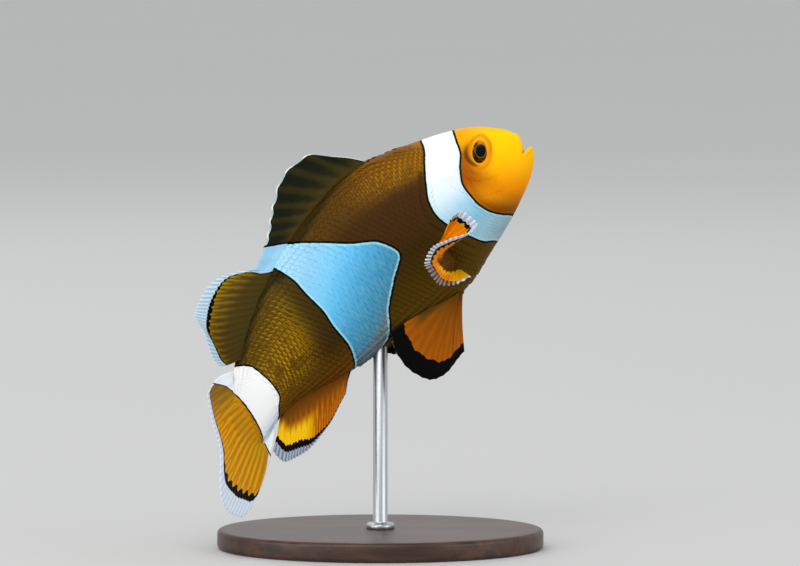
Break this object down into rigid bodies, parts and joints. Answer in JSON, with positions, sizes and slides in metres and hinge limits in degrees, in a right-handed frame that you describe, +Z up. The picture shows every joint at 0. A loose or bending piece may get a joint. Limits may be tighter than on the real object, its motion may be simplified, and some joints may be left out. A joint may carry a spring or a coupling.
{
  "type": "life-size clownfish display model",
  "caption": "Life-size model of a banded reef fish, climbing head-up with its tail curled to its right side, on one rod over a plain oval base.",
  "frame": {"origin": "middle of the underside of the stand's oval base", "axes": "+Z up along the stand's rod, -Z out of the base's underside, the fish's right side towards -Y and its head towards +X and +Z"},
  "size_m": [0.0611, 0.0506, 0.0749],
  "materials": {
    "face": "wet fish skin, yellow above and orange below",
    "body_brown": "fine scales, dark brown with golden dashes",
    "bar_white": "fine scales, bluish white",
    "fin_orange": "thin ribbed web, orange with a black band and a pale fringe",
    "fin_dark": "thin ribbed web, dark olive brown",
    "eye": "glossy, black pupil in a golden ring",
    "stand_base": "dark stained wood, satin",
    "stand_rod": "fine brushed"
  },
  "bodies": {
    "root": {"head": "face", "trunk_front": "body_brown", "trunk_middle": "bar_white", "trunk_rear": "body_brown", "peduncle": "bar_white", "caudal_fin": "fin_orange", "dorsal_fin_spiny": "fin_dark", "dorsal_fin_soft": "fin_dark", "anal_fin": "fin_orange", "pectoral_fin_right": "fin_orange", "pectoral_fin_left": "fin_orange", "pelvic_fin_right": "fin_orange", "pelvic_fin_left": "fin_orange", "eye_right": "eye", "eye_left": "eye", "stand_base": "stand_base", "stand_rod": "stand_rod"}
  },
  "joints": []
}
